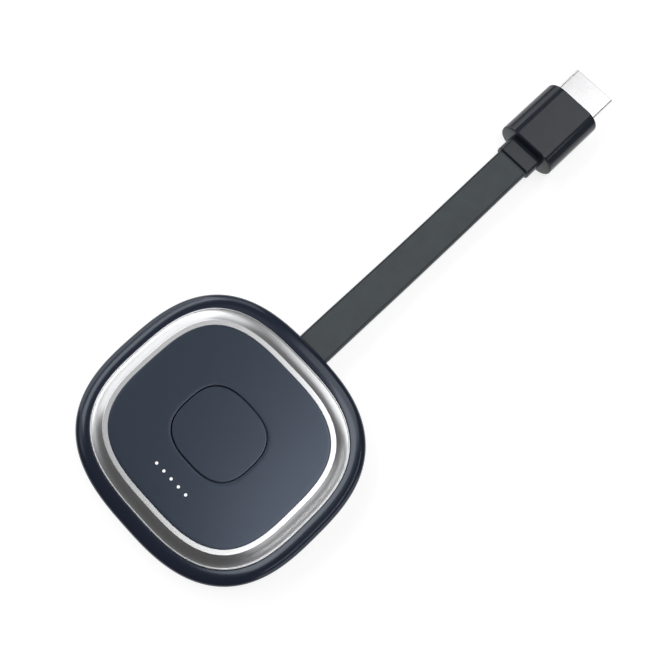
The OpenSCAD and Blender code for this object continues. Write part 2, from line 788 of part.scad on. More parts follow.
// A loop round the plug's axis: a block with elliptical corners, at a place along Y
corner_steps = 6;
function plug_loop(hx, hz, cx, cz, y) = [for (c = [[1, 1, 0], [1, -1, 90], [-1, -1, 180], [-1, 1, 270]],
    i = [0 : corner_steps]) let (a = c[2] + 90 * i / corner_steps)
    [c[0] * (hx - cx) + cx * sin(a), y, plug_z + c[1] * (hz - cz) + cz * cos(a)]];

// How much of its height the rounding of each side takes
side_h_share = 0.95;

// Collar: a small block with a flat top and rounded sides that the cable runs into
collar_round = 0.3;
module collar_skin() {
    hx = collar_w / 2;
    hz = collar_h / 2;
    cz = hz * side_h_share;
    skin([
        plug_loop(hx - collar_round, hz - collar_round, collar_side, cz - collar_round, collar_y),
        plug_loop(hx, hz, collar_side, cz, collar_y + collar_round),
        plug_loop(hx, hz, collar_side, cz, body_y)]);
}

module cable_collar() {
    color([0.20, 0.21, 0.23]) collar_skin();
}

// Body of the plug: a flat top and rounded sides, moulded round the shell and the little board
board_room = [13, 8, 1.6];
module plug_overmold() {
    hx = plug_w / 2;
    hz = plug_h / 2;
    cz = hz * side_h_share;
    front = body_y + plug_l;
    // Places along the body, and how far its rounded ends are drawn in there
    ends = [[body_y, end_round], [body_y + end_round / 3, end_round / 3], [body_y + end_round, 0],
        [front - end_round, 0], [front - end_round / 3, end_round / 3], [front, end_round]];
    color([0.17, 0.18, 0.20]) difference() {
        skin([for (e = ends) plug_loop(hx - e[1], hz - e[1], side_w, cz - e[1], e[0])]);
        shell_bar(shell_w + 2 * fit, shell_h + 2 * fit, front - shell_in, front + over);
        translate([-board_room[0] / 2, front - shell_in - board_room[1], plug_z - board_room[2] / 2])
            cube([board_room[0], board_room[1] + over, board_room[2]]);
    }
}

// The metal shell's outline: wide above, with its lower corners cut off
shell_side_share = 0.55;
shell_foot_share = 0.8;
module shell_bar(w, h, y0, y1) {
    translate([0, y1, plug_z]) rotate([90, 0, 0]) linear_extrude(y1 - y0) polygon([
        [-w / 2, h / 2], [-w / 2, h / 2 - h * shell_side_share], [-w / 2 * shell_foot_share, -h / 2],
        [w / 2 * shell_foot_share, -h / 2], [w / 2, h / 2 - h * shell_side_share], [w / 2, h / 2]]);
}

module plug_shell() {
    color([0.90, 0.90, 0.91]) difference() {
        shell_bar(shell_w, shell_h, tip_y - shell_out - shell_in, tip_y);
        shell_bar(shell_w - 2 * shell_t, shell_h - 2 * shell_t, tip_y - shell_out - shell_in - over,
            tip_y + over);
    }
}

// Insulator: a block at the back of the shell, and an upper and a lower plate for the contacts
insulator_back = 7;
insulator_recess = 0.8;
mouth_h = 2.1;
mouth_w = 11.4;
contact_w = 0.45;
contact_t = 0.12;
contact_pitch = 1;
upper_contacts = 10;
lower_contacts = 9;

module plug_insulator() {
    w = shell_w - 2 * shell_t;
    h = shell_h - 2 * shell_t;
    color([0.09, 0.09, 0.10]) difference() {
        shell_bar(w, h, tip_y - shell_out - shell_in, tip_y - insulator_recess);
        translate([-mouth_w / 2, tip_y - shell_out - shell_in + insulator_back, plug_z - mouth_h / 2])
            cube([mouth_w, shell_out + shell_in, mouth_h]);
    }
}

module plug_contacts() {
    back_y = tip_y - shell_out - shell_in + insulator_back;
    size = [contact_w, tip_y - 2 * insulator_recess - back_y, contact_t];
    color([0.85, 0.68, 0.30]) {
        for (i = [0 : upper_contacts - 1])
            translate([(i - (upper_contacts - 1) / 2) * contact_pitch - contact_w / 2, back_y,
                plug_z + mouth_h / 2 - contact_t]) cube(size);
        for (i = [0 : lower_contacts - 1])
            translate([(i - (lower_contacts - 1) / 2) * contact_pitch - contact_w / 2, back_y,
                plug_z - mouth_h / 2]) cube(size);
    }
}

// The plug's own little board, in a pocket of the moulding behind the shell
plug_board_t = 0.8;
module plug_board() {
    color([0.08, 0.32, 0.20])
        translate([-board_room[0] / 2 + room, body_y + plug_l - shell_in - board_room[1] + room,
            plug_z - plug_board_t / 2])
            cube([board_room[0] - 2 * room, board_room[1] - room, plug_board_t]);
}

bottom_shell();
top_shell();
silver_ring();
face_plate();
button_cap();
switch_plunger();
switch_dome();
switch_base();
switch_cover();
light_guide();
indicator_lights();
main_board();
processor();
thermal_pad();
heat_spreader();
memory_chip();
flash_chip();
power_chip();
power_coil();
small_capacitors();
crystal();
radio_board();
radio_shield();
antenna_left();
antenna_right();
power_socket_shell();
power_socket_tongue();
power_socket_contacts();
case_screws();
foot_ring();
cable_grommet();
cable_tail();
cable_header();
cable();
cable_collar();
plug_overmold();
plug_shell();
plug_insulator();
plug_contacts();
plug_board();
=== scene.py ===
# %% [markdown]
# # A wireless display adapter, dressed around its CAD model
#
# The adapter is a rounded-square puck on a short flat cable that ends in a video plug. The CAD model
# gives every piece its size and its place. This lesson gives the pieces their looks: smooth surfaces
# worked out with numpy, finishes made from nodes, and plain soft light.

import json
import math

import bpy
import numpy as np
from mathutils import Matrix, Vector


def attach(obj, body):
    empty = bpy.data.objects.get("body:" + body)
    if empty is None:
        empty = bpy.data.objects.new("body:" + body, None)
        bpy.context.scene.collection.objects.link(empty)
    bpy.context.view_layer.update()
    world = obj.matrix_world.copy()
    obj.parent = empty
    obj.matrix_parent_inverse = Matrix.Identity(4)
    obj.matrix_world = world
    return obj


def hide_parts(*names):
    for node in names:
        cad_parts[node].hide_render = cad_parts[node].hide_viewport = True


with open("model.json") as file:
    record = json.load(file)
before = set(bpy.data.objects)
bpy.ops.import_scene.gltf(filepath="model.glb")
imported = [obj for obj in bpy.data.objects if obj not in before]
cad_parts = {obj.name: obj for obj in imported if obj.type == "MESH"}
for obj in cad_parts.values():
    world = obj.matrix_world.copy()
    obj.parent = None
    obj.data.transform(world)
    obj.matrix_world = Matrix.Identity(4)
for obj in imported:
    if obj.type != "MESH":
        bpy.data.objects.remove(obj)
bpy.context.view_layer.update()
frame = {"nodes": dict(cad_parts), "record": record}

# %% [markdown]
# ## The camera
#
# The camera comes first, because everything else is judged through it. Its place and lens were
# fitted to the outlines of the rim, the ring, the face and the button, to the edges of the cable and
# the plug, to the lights and to the metal shell's corners. The shell's standard width sets the scale.
# The picture is square, so the lens in mm follows from the focal length in pixels and the width of
# the sensor.

# %% Camera
MM = 0.001
PICTURE_PX = 666
FOCAL_PX = 775
SENSOR_MM = 36
NEAREST_M = 0.01
FARTHEST_M = 20
# Columns: the directions of the picture's right, of its top, and back towards the eye
VIEW_AXES = (
    (0.694366, -0.705296, 0.142873),
    (0.719317, 0.674482, -0.166302),
    (0.020927, 0.218246, 0.975669),
)
EYE_MM = (30.37, 5.32, 209.86)


def into_scene(name, data):
    """A new object in the scene, made from a mesh, a lamp or a camera."""
    thing = bpy.data.objects.new(name, data)
    bpy.context.scene.collection.objects.link(thing)
    return thing


lens = bpy.data.cameras.new("photo_camera")
lens.sensor_width = SENSOR_MM
lens.lens = SENSOR_MM * FOCAL_PX / PICTURE_PX
lens.clip_start = NEAREST_M
lens.clip_end = FARTHEST_M
camera = into_scene("photo_camera", lens)
camera.matrix_world = Matrix.LocRotScale(Vector(EYE_MM) * MM, Matrix(VIEW_AXES).to_quaternion(), None)
bpy.context.scene.camera = camera
print("lens in mm:", round(lens.lens, 2))

# %% [markdown]
# ## One way to make every surface
#
# Each piece is a closed grid: rows of points, each row a loop round the piece. A solid bar has its
# first and last loops closed by a fan to their middle, and a ring has its last row joined to its
# first. One helper makes both, so that no piece has an open seam or a face turned inwards.

# %% From a grid of points to a closed piece
SHARP_ANGLE = math.radians(38)


def new_piece(name, grid, joined=False):
    """A closed mesh object from a grid of points in mm, rows by columns by xyz.

    Columns always close on themselves. Rows are joined last to first, or each end row is closed by a
    fan to its mean point. The volume is the sum of a . (b x c) / 6 over the triangles, and where it
    is below zero every face is reversed, so faces always point outwards.
    """
    rows, columns = grid.shape[:2]
    points = grid.reshape(-1, 3)
    here = np.arange(columns)
    after = np.roll(here, -1)
    row = np.arange(rows if joined else rows - 1)[:, None] * columns
    above = (row + columns) % (rows * columns)
    quads = np.stack([row + here, row + after, above + after, above + here], axis=-1).reshape(-1, 4)
    fans = np.zeros((0, 3), int)
    if not joined:
        points = np.vstack([points, grid[0].mean(0), grid[-1].mean(0)])
        first = np.full(columns, rows * columns)
        top = (rows - 1) * columns
        fans = np.vstack([
            np.stack([first, after, here], axis=-1),
            np.stack([first + 1, top + here, top + after], axis=-1),
        ])
    thirds = np.vstack([quads[:, :3], quads[:, [0, 2, 3]], fans])
    a, b, c = (points[thirds[:, k]] for k in range(3))
    if np.einsum("ij,ij->", a, np.cross(b, c)) < 0:
        quads = quads[:, ::-1]
        fans = fans[:, ::-1]
    mesh = bpy.data.meshes.new(name)
    mesh.from_pydata((points * MM).tolist(), [], quads.tolist() + fans.tolist())
    return soften(into_scene(name, mesh))


def soften(piece):
    """Smooth shading everywhere but across edges that turn by more than SHARP_ANGLE."""
    piece.data.shade_smooth()
    piece.data.set_sharp_from_angle(angle=SHARP_ANGLE)
    return piece


# %% [markdown]
# Every piece is then placed in one way: it rides on a CAD body, stands for the CAD nodes that it
# replaces, and wears one finish.

# %% Place a finished piece on its body
def place(piece, body, nodes, finish):
    """The piece rides on a CAD body, stands for CAD nodes and wears a finish."""
    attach(piece, body)
    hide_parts(*nodes)
    piece.data.materials.clear()
    piece.data.materials.append(finish)
    size = [round(1000 * side, 1) for side in piece.dimensions]
    print(f"{piece.name}: {len(piece.data.polygons)} faces, {size} mm")


# %% [markdown]
# Openings that don't follow a loop, such as a socket's mouth, are cut out afterwards with closed
# shapes. The shapes are dropped once they have cut.

# %% Take a shape out of a piece
def cut_away(piece, cutters):
    """Subtracts closed cutters from a piece, keeps the result as its mesh and drops the cutters."""
    for cutter in cutters:
        step = piece.modifiers.new("cut", "BOOLEAN")
        step.operation = "DIFFERENCE"
        step.solver = "EXACT"
        step.object = cutter
    graph = bpy.context.evaluated_depsgraph_get()
    cut = bpy.data.meshes.new_from_object(piece.evaluated_get(graph))
    piece.modifiers.clear()
    piece.data = cut
    for cutter in cutters:
        bpy.data.objects.remove(cutter)
    return soften(piece)


# %% [markdown]
# ## One way to make every finish
#
# Moulded plastic is never one flat colour: its skin has a fine grain that breaks up the gloss, and
# broad clouds a little lighter and darker. Both come from noise in Object coordinates, so they sit
# still on the piece in every view. A helper lays them over any colour, and the special finishes
# further down add to it.

# %% Grain, clouds and gloss from noise
NOISE_LOW = 0.3
NOISE_HIGH = 0.7
CLOUD_GRAINS = 40
CLOUD_DETAIL = 3
GRAIN_DETAIL = 2


def noise(tree, size_mm, detail, stretch=(1, 1, 1)):
    """Noise on Object coordinates with lumps about size_mm across, drawn out along an axis by stretch."""
    where = tree.nodes.new("ShaderNodeTexCoord")
    turn = tree.nodes.new("ShaderNodeMapping")
    turn.inputs["Scale"].default_value = [1 / (size_mm * MM * part) for part in stretch]
    lumps = tree.nodes.new("ShaderNodeTexNoise")
    lumps.inputs["Scale"].default_value = 1
    lumps.inputs["Detail"].default_value = detail
    tree.links.new(where.outputs["Object"], turn.inputs["Vector"])
    tree.links.new(turn.outputs["Vector"], lumps.inputs["Vector"])
    return lumps.outputs["Fac"]


def between(tree, share, low, high):
    """The share, from NOISE_LOW to NOISE_HIGH as noise mostly is, stretched to run from low to high."""
    step = tree.nodes.new("ShaderNodeMapRange")
    step.inputs["From Min"].default_value = NOISE_LOW
    step.inputs["From Max"].default_value = NOISE_HIGH
    step.inputs["To Min"].default_value = low
    step.inputs["To Max"].default_value = high
    tree.links.new(share, step.inputs["Value"])
    return step.outputs["Result"]


def tinted(tree, share, dark, light):
    """A colour that runs from dark to light with the share."""
    mix = tree.nodes.new("ShaderNodeMix")
    mix.data_type = "RGBA"
    mix.inputs["A"].default_value = (*dark, 1)
    mix.inputs["B"].default_value = (*light, 1)
    tree.links.new(share, mix.inputs["Factor"])
    return mix.outputs["Result"]


def new_finish(name, colour, rough, metal=0.0, cloud=0.12, grain_mm=0.15, height_mm=0.004,
               gloss_spread=0.15, stretch=(1, 1, 1), **sockets):
    """A finish with clouds in its colour, noise in its roughness and a fine grain in its height.

    The colour runs from colour * (1 - cloud) to colour * (1 + cloud), and the roughness from
    rough * (1 - gloss_spread) to rough * (1 + gloss_spread). sockets are further sockets of the
    shader, with spaces written as underscores, and hold one value all over.
    """
    finish = bpy.data.materials.new(name)
    finish.use_nodes = True
    tree = finish.node_tree
    shader = tree.nodes["Principled BSDF"]
    shader.inputs["Metallic"].default_value = metal
    for socket, value in sockets.items():
        shader.inputs[socket.replace("_", " ")].default_value = value
    clouds = between(tree, noise(tree, CLOUD_GRAINS * grain_mm, CLOUD_DETAIL), 0, 1)
    dark = [part * (1 - cloud) for part in colour]
    light = [min(1, part * (1 + cloud)) for part in colour]
    tree.links.new(tinted(tree, clouds, dark, light), shader.inputs["Base Color"])
    grain = noise(tree, grain_mm, GRAIN_DETAIL, stretch)
    spread = between(tree, grain, rough * (1 - gloss_spread), min(1, rough * (1 + gloss_spread)))
    tree.links.new(spread, shader.inputs["Roughness"])
    bump = tree.nodes.new("ShaderNodeBump")
    bump.inputs["Strength"].default_value = 1
    bump.inputs["Distance"].default_value = height_mm * MM
    tree.links.new(grain, bump.inputs["Height"])
    tree.links.new(bump.outputs["Normal"], shader.inputs["Normal"])
    return finish


def changed_where(finish, attribute, rough, colour):
    """Roughness and colour run from the finish's own to others as the piece's attribute goes 0 to 1."""
    tree = finish.node_tree
    share = tree.nodes.new("ShaderNodeAttribute")
    share.attribute_name = attribute
    for name, kind, value in (("Roughness", "FLOAT", rough), ("Base Color", "RGBA", (*colour, 1))):
        socket = tree.nodes["Principled BSDF"].inputs[name]
        own = socket.links[0].from_socket
        mix = tree.nodes.new("ShaderNodeMix")
        mix.data_type = kind
        mix.inputs["B"].default_value = value
        tree.links.new(share.outputs["Fac"], mix.inputs["Factor"])
        tree.links.new(own, mix.inputs["A"])
        tree.links.new(mix.outputs["Result"], socket)


# %% [markdown]
# ## The flat cable
#
# A ribbon of soft grey plastic joins the puck to its plug. The photograph shows it from end to end,
# so that is its whole length. It leaves the wall of the puck level, sags a little and rises to the
# plug. It is a section carried along that route: flat above and below, with a fine groove beside each
# rounded edge. A curve with a bevel could make it too, but its ends would tilt with the route. Here
# the first and last rows stand square to what they meet.

# %% The cable's route and its section
CABLE_W = 10.1
CABLE_T = 2.4
CABLE_EDGE = 0.5
CABLE_ROWS = 160
EXIT_MM = (0, 32.45, 4.9)
# Distance along Y and height, both from the exit
ROUTE = np.array([
    [0, 0], [4, 0], [8, -0.1], [13, -0.3], [18, -0.6], [23, -0.9], [28, -1.2], [33, -1.4], [38, -1.5],
    [43, -1.5], [48, -1.5], [53, -1.4], [58, -1.2], [63, -1], [68, -0.7], [73, -0.5], [79.8, -0.5],
])


def smooth_route(route, count):
    """Points on a smooth curve through the route's points.

    Between two points the height is the cubic that meets both heights and both slopes, and the slope
    at a point is that of the line between its two neighbours.
    """
    run, rise = route.T
    slope = np.gradient(rise, run)
    at = np.linspace(run[0], run[-1], count)
    k = np.clip(np.searchsorted(run, at, side="right") - 1, 0, len(run) - 2)
    gap = run[k + 1] - run[k]
    t = (at - run[k]) / gap
    height = (
        (2 * t**3 - 3 * t**2 + 1) * rise[k]
        + (t**3 - 2 * t**2 + t) * gap * slope[k]
        + (3 * t**2 - 2 * t**3) * rise[k + 1]
        + (t**3 - t**2) * gap * slope[k + 1]
    )
    return np.column_stack([at, height])


def arc(middle, radii, start, end, count):
    """Points on an ellipse: middle + (rx cos a, ry sin a), for count angles in degrees from start to end."""
    a = np.radians(np.linspace(start, end, count))
    return np.column_stack([middle[0] + radii[0] * np.cos(a), middle[1] + radii[1] * np.sin(a)])


def mirrored(half):
    """A closed outline from its right half, which runs from top to bottom: the left half is that one
    turned upwards again with its x reversed."""
    return np.vstack([half, half[::-1] * [-1, 1]])


GROOVE_AT = 0.5
GROOVE_W = 0.22
GROOVE_D = 0.22
GROOVE_LIP = GROOVE_D / 6
FLAT_X = 1.5
EDGE_W = CABLE_EDGE * 0.6
EDGE_START = 80
EDGE_POINTS = 7
half_w = CABLE_W / 2
half_t = CABLE_T / 2
groove_x = half_w - GROOVE_AT
upper = np.array([
    [FLAT_X, half_t], [groove_x - GROOVE_W, half_t], [groove_x - GROOVE_W / 2, half_t - GROOVE_LIP],
    [groove_x - GROOVE_W / 5, half_t - GROOVE_D], [groove_x + GROOVE_W / 5, half_t - GROOVE_D],
    [groove_x + GROOVE_W / 2, half_t - GROOVE_LIP],
])
corner = arc((half_w - EDGE_W, half_t - CABLE_EDGE), (EDGE_W, CABLE_EDGE), EDGE_START, 0, EDGE_POINTS)
quarter = np.vstack([upper, corner])
cable_section = mirrored(np.vstack([quarter, quarter[::-1] * [1, -1]]))
line = smooth_route(ROUTE, CABLE_ROWS)
print("points in the cable's section:", len(cable_section))

# %% The cable, carried along its route
slope = np.gradient(line[:, 1], line[:, 0])
lean = np.arctan(slope)
lean[[0, -1]] = 0
across = cable_section[:, 0][None, :]
through = cable_section[:, 1][None, :]
cable_grid = np.stack([
    across + 0 * lean[:, None],
    EXIT_MM[1] + line[:, :1] - np.sin(lean)[:, None] * through,
    EXIT_MM[2] + line[:, 1:] + np.cos(lean)[:, None] * through,
], axis=-1)
cable_path = np.column_stack([0 * line[:, 0], EXIT_MM[1] + line[:, 0], EXIT_MM[2] + line[:, 1]])
cable_length = np.linalg.norm(np.diff(cable_path, axis=0), axis=1).sum()
cable = new_piece("flat_cable", cable_grid)
soft_grey = new_finish("soft_grey_cable", (0.062, 0.075, 0.084), 0.55, cloud=0.08, grain_mm=0.12,
                       height_mm=0.006, Specular_IOR_Level=0.45)
place(cable, "case", ["cable"], soft_grey)
print("cable length in mm:", round(cable_length, 2))

# %% [markdown]
# ## The collar and the plug's body
#
# The cable runs into a small collar, and the collar into the moulded body of the plug. Both are a
# block with rounded corners carried along the cable's direction. The block is drawn in at its ends,
# so that each edge is rounded there too, as any moulding is. A cube with a Bevel modifier could make
# them, but its corners would be circular, and these are quarters of an ellipse.

# %% Blocks with rounded corners, carried along Y
PLUG_Z = 4.4
COLLAR_Y = 112.25
BODY_Y = 117.75
BODY_END_Y = 137.75
CORNER_POINTS = 18
END_POINTS = 6
HOLD = 0.12


def corner_loop(half_x, half_z, corner_x, corner_z, y):
    """A loop of a block round the plug's axis, at a place along Y.

    Each corner is a quarter of an ellipse: from the flat top at half_x - corner_x across, down to the
    side at half_z - corner_z above the axis. A point at HOLD before it keeps the shading of the top flat.
    """
    right = arc((half_x - corner_x, half_z - corner_z), (corner_x, corner_z), 90, 0, CORNER_POINTS)
    right = np.vstack([[half_x - corner_x - HOLD, half_z], right])
    ring = mirrored(np.vstack([right, right[::-1] * [1, -1]]))
    return np.column_stack([ring[:, 0], y + 0 * ring[:, 0], PLUG_Z + ring[:, 1]])


def rounded_ends(start, end, rounding):
    """Places along Y, and how far the block is drawn in at each: a quarter circle at both ends.

    A row at HOLD beyond each quarter circle keeps the shading of the long sides flat.
    """
    a = np.radians(np.linspace(0, 90, END_POINTS))
    along = rounding * (1 - np.cos(a))
    drawn = rounding * (1 - np.sin(a))
    return np.vstack([
        np.column_stack([start + along, drawn]),
        [[start + rounding + HOLD, 0], [end - rounding - HOLD, 0]],
        np.column_stack([end - along, drawn])[::-1],
    ])


# %% The collar
COLLAR_W = 11.8
COLLAR_H = 3.9
COLLAR_SIDE = 1.25
SIDE_SHARE = 0.95
COLLAR_ROUND = 0.3
collar_rows = rounded_ends(COLLAR_Y, BODY_Y + COLLAR_ROUND, COLLAR_ROUND)[:1 - END_POINTS]
collar_grid = np.stack([
    corner_loop(COLLAR_W / 2 - drawn, COLLAR_H / 2 - drawn, COLLAR_SIDE, COLLAR_H / 2 * SIDE_SHARE - drawn, y)
    for y, drawn in collar_rows
])
collar_grid[-1, :, 1] = BODY_Y
collar = new_piece("plug_collar", collar_grid)
dark_moulding = new_finish("dark_moulding", (0.015, 0.021, 0.032), 0.4, cloud=0.10, grain_mm=0.10,
                           height_mm=0.002, Specular_IOR_Level=0.15, Coat_Weight=0.65, Coat_Roughness=0.1)
place(collar, "case", ["cable_collar"], dark_moulding)

# %% The body of the plug
BODY_W = 18.6
BODY_H = 8.8
SIDE_W = 4.6
END_ROUND = 0.5
body_grid = np.stack([
    corner_loop(BODY_W / 2 - drawn, BODY_H / 2 - drawn, SIDE_W, BODY_H / 2 * SIDE_SHARE - drawn, y)
    for y, drawn in rounded_ends(BODY_Y, BODY_END_Y, END_ROUND)
])
plug_body = new_piece("plug_body", body_grid)

# %% [markdown]
# ## The plug's metal shell
#
# The shell is bent from one sheet: wide above, with its lower corners drawn in. It is a tube, so its
# outline is carried forward along the outside and back along the inside, and the last loop is joined
# to the first. The same way makes the round-ended shell of the power socket. A Solidify modifier on
# an open surface would do as well, but this way the edge of the mouth is rounded.

# %% Outlines with rounded corners, and tubes of sheet metal
SHELL_W = 13.9
SHELL_H = 4.45
SHELL_T = 0.3
SHELL_IN = 6
SHELL_OUT = 9.1
SIDE_DROP = 0.55
FOOT_DRAW = 0.8
SIDE_HOLD = 0.2
MOUTH_POINTS = 7
SQUARE = np.array([[1, 1], [1, -1], [-1, -1], [-1, 1]])


def rounded_outline(corners, radius, count=7):
    """A closed outline whose corners are rounded, listed clockwise seen from the front.

    At each corner the curve is the parabola between the points a radius away along both sides, with
    the corner as its third point: (1-t)^2 p + 2t(1-t) corner + t^2 q. A point before p and one
    beyond q, at SIDE_HOLD of the radius, keep the shading of the sides flat.
    """
    corners = np.asarray(corners, float)
    back = np.roll(corners, 1, axis=0) - corners
    ahead = np.roll(corners, -1, axis=0) - corners
    p = corners + radius * back / np.linalg.norm(back, axis=1)[:, None]
    q = corners + radius * ahead / np.linalg.norm(ahead, axis=1)[:, None]
    t = np.linspace(0, 1, count)[None, :, None]
    curve = (1 - t) ** 2 * p[:, None] + 2 * t * (1 - t) * corners[:, None] + t**2 * q[:, None]
    before = (p + SIDE_HOLD * (p - corners))[:, None]
    beyond = (q + SIDE_HOLD * (q - corners))[:, None]
    return np.concatenate([before, curve, beyond], axis=1).reshape(-1, 2)


def plug_outline(width, height, radius):
    """The plug's outline: a block whose lower corners are cut off, wide above."""
    side = height / 2 - height * SIDE_DROP
    foot = width / 2 * FOOT_DRAW
    right = [[width / 2, height / 2], [width / 2, side], [foot, -height / 2]]
    left = [[-foot, -height / 2], [-width / 2, side], [-width / 2, height / 2]]
    return rounded_outline(right + left, radius)


def loop_at(outline, y, z):
    """An outline in x and z as a loop of points at a place along Y, about the height z."""
    return np.column_stack([outline[:, 0], y + 0 * outline[:, 0], z + outline[:, 1]])


def sheet_tube(name, outline, thickness, back, mouth, z):
    """A tube of sheet metal along Y: the outline outside, and inside it the same drawn in.

    outline(t) gives the loop drawn in by t. The edge of the mouth is a half circle, and a
    row just behind it keeps the shading of the sides flat.
    """
    a = np.radians(np.linspace(0, 180, MOUTH_POINTS))
    toward = np.sign(mouth - back)
    drawn = thickness / 2 * (1 - np.cos(a))
    at = mouth - toward * thickness / 2 * (1 - np.sin(a))
    near = mouth - toward * thickness
    rows = [loop_at(outline(0), y, z) for y in (back, near)]
    rows += [loop_at(outline(step), y, z) for step, y in zip(drawn, at)]
    rows += [loop_at(outline(thickness), y, z) for y in (near, back)]
    return new_piece(name, np.stack(rows), joined=True)


# %% The metal shell, and its pocket in the plug's body
POCKET_FIT = 0.05
ROOM_W = 13
ROOM_L = 8
ROOM_H = 1.6
SHELL_CORNER = 0.7
CUT_PAST = 1
tip_y = BODY_END_Y + SHELL_OUT
shell_back = BODY_END_Y - SHELL_IN
plug_shell = sheet_tube(
    "plug_shell_metal",
    lambda t: plug_outline(SHELL_W - 2 * t, SHELL_H - 2 * t, SHELL_CORNER - t),
    SHELL_T, shell_back, tip_y, PLUG_Z,
)
pocket = plug_outline(SHELL_W + 2 * POCKET_FIT, SHELL_H + 2 * POCKET_FIT, SHELL_CORNER)
pocket_rows = [loop_at(pocket, y, PLUG_Z) for y in (shell_back, BODY_END_Y + CUT_PAST)]
room = SQUARE * [ROOM_W / 2, ROOM_H / 2]
room_rows = [loop_at(room, y, PLUG_Z) for y in (shell_back - ROOM_L, shell_back + CUT_PAST)]
cut_away(plug_body, [
    new_piece("pocket_cutter", np.stack(pocket_rows)),
    new_piece("room_cutter", np.stack(room_rows)),
])
place(plug_body, "case", ["plug_overmold"], dark_moulding)
bright_metal = new_finish("bright_plug_metal", (0.85, 0.85, 0.86), 0.26, metal=1.0, cloud=0.02,
                          grain_mm=0.06, height_mm=0.0004, stretch=(1, 12, 1))
place(plug_shell, "case", ["plug_shell"], bright_metal)

# %% [markdown]
# ## The puck's family of loops
#
# The outline of the puck is a rounded square that grows squarer from the rim to the face. In each
# direction from the middle its distance is (|cos a / x|^p + |sin a / y|^p)^(-1/p), where x and y are
# the half sizes and p says how square it is: 2 is an ellipse. Every shell of the puck is a list of
# such loops, so a whole housing is one short table of insets and heights.

# %% Loops of the puck
PUCK_W = 71.5
PUCK_L = 66.1
OUTLINE_POWER = 2.73
FACE_POWER = 3.1
RIM_W = 4.2
RING_W = 4.9
FACE_INSET = RIM_W + RING_W
LOOP_POINTS = 256


def carried_round(rows):
    """A grid of points from rows of half width, half length, squareness and height."""
    half_x, half_y, power, z = (column[:, None] for column in np.asarray(rows, float).T)
    a = np.linspace(0, 2 * np.pi, LOOP_POINTS, endpoint=False)[None, :]
    reach = (np.abs(np.cos(a) / half_x) ** power + np.abs(np.sin(a) / half_y) ** power) ** (-1 / power)
    return np.stack([reach * np.cos(a), reach * np.sin(a), z + 0 * reach], axis=-1)


def puck_rows(profile):
    """Rows from points of inset and height: half sizes less the inset, and a squareness that runs
    from the widest line's to the face's as the inset grows to the edge of the face."""
    inset, z = np.vstack(profile).T
    power = OUTLINE_POWER + (FACE_POWER - OUTLINE_POWER) * np.minimum(1, inset / FACE_INSET)
    return np.column_stack([PUCK_W / 2 - inset, PUCK_L / 2 - inset, power, z])


# %% [markdown]
# ## The bottom shell and its foot
#
# The underside curves up to the parting line like a quarter of an ellipse. A rubber foot sits in a
# groove of the base and hides the screws. The wall has one opening for the cable and one for the
# power socket, cut out with plain shapes once the shell is made. Those two don't follow the loops, so
# a Boolean is the simple way to make them.

# %% Heights of the puck, and shapes that cut the two openings
WIDE_Z = 6.8
PARTING_Z = 4.6
BASE_Z = 0.6
UNDER_W = 7.8
WALL = 1.5
RIM_WALL = 1.9
LIP_W = 0.8
LIP_H = 0.7
FIT = 0.05
SEAM = 0.12
FOOT_INSET = 9.6
FOOT_W = 4.4
FOOT_TOP = 1.4
NECK_W = 10.8
NECK_H = 3.5
SOCKET_Z = 4.0
SOCKET_W = 8.94
SOCKET_H = 3.16
SOCKET_ROOM = 0.35
NECK_CORNER = 0.3
NECK_L = 6.5
SEAM_ANGLE = 1.2
UNDER_H = WIDE_Z - BASE_Z


def under(angle, drawn=0.0):
    """Inset and height on the rounded underside, at angles in degrees below the widest line."""
    a = np.radians(angle)
    inset = UNDER_W - (UNDER_W - drawn) * np.cos(a)
    return np.column_stack([inset, WIDE_Z - (UNDER_H - drawn) * np.sin(a)])


def parting_angle(drawn=0.0):
    """The angle at which the underside reaches the parting line."""
    return math.degrees(math.asin((WIDE_Z - PARTING_Z) / (UNDER_H - drawn)))


def stadium(width, height, count=16):
    """An outline with straight top and bottom and half-round ends, clockwise."""
    right = arc(((width - height) / 2, 0), (height / 2, height / 2), 90, -90, count)
    return np.vstack([right, right * [-1, -1]])


def opening_cutters():
    """The shapes that take the cable's and the socket's openings out of a shell."""
    neck = rounded_outline(SQUARE * [NECK_W / 2 + FIT, NECK_H / 2 + FIT], NECK_CORNER)
    mouth = stadium(SOCKET_W + 2 * SOCKET_ROOM, SOCKET_H + 2 * SOCKET_ROOM)
    cable_rows = [loop_at(neck, y, EXIT_MM[2]) for y in (PUCK_L / 2 - NECK_L, PUCK_L / 2 + CUT_PAST)]
    socket_rows = [loop_at(mouth, y, SOCKET_Z) for y in (-PUCK_L / 2 - CUT_PAST, UNDER_W - PUCK_L / 2)]
    return [
        new_piece("cable_cutter", np.stack(cable_rows)),
        new_piece("socket_cutter", np.stack(socket_rows)),
    ]


# %% The bottom shell
UNDER_POINTS = 22
INNER_POINTS = 14
GROOVE_LAND = 0.5
outer_under = under(np.linspace(90, parting_angle() + SEAM_ANGLE, UNDER_POINTS))
inner_under = under(np.linspace(parting_angle(WALL), 90, INNER_POINTS), WALL)
lip_out = RIM_WALL + FIT
edge = outer_under[-1]
bottom_profile = [
    [[FOOT_INSET + FOOT_W + FIT, BASE_Z], [FOOT_INSET + FOOT_W + FIT, FOOT_TOP],
     [FOOT_INSET - FIT, FOOT_TOP], [FOOT_INSET - FIT, BASE_Z], [FOOT_INSET - GROOVE_LAND, BASE_Z]],
    outer_under,
    [[edge[0] + SEAM / 2, PARTING_Z - SEAM / 4], [edge[0] + 2 * SEAM, PARTING_Z],
     [lip_out, PARTING_Z], [lip_out, PARTING_Z + LIP_H], [lip_out + LIP_W, PARTING_Z + LIP_H],
     [lip_out + LIP_W, PARTING_Z]],
    inner_under,
]
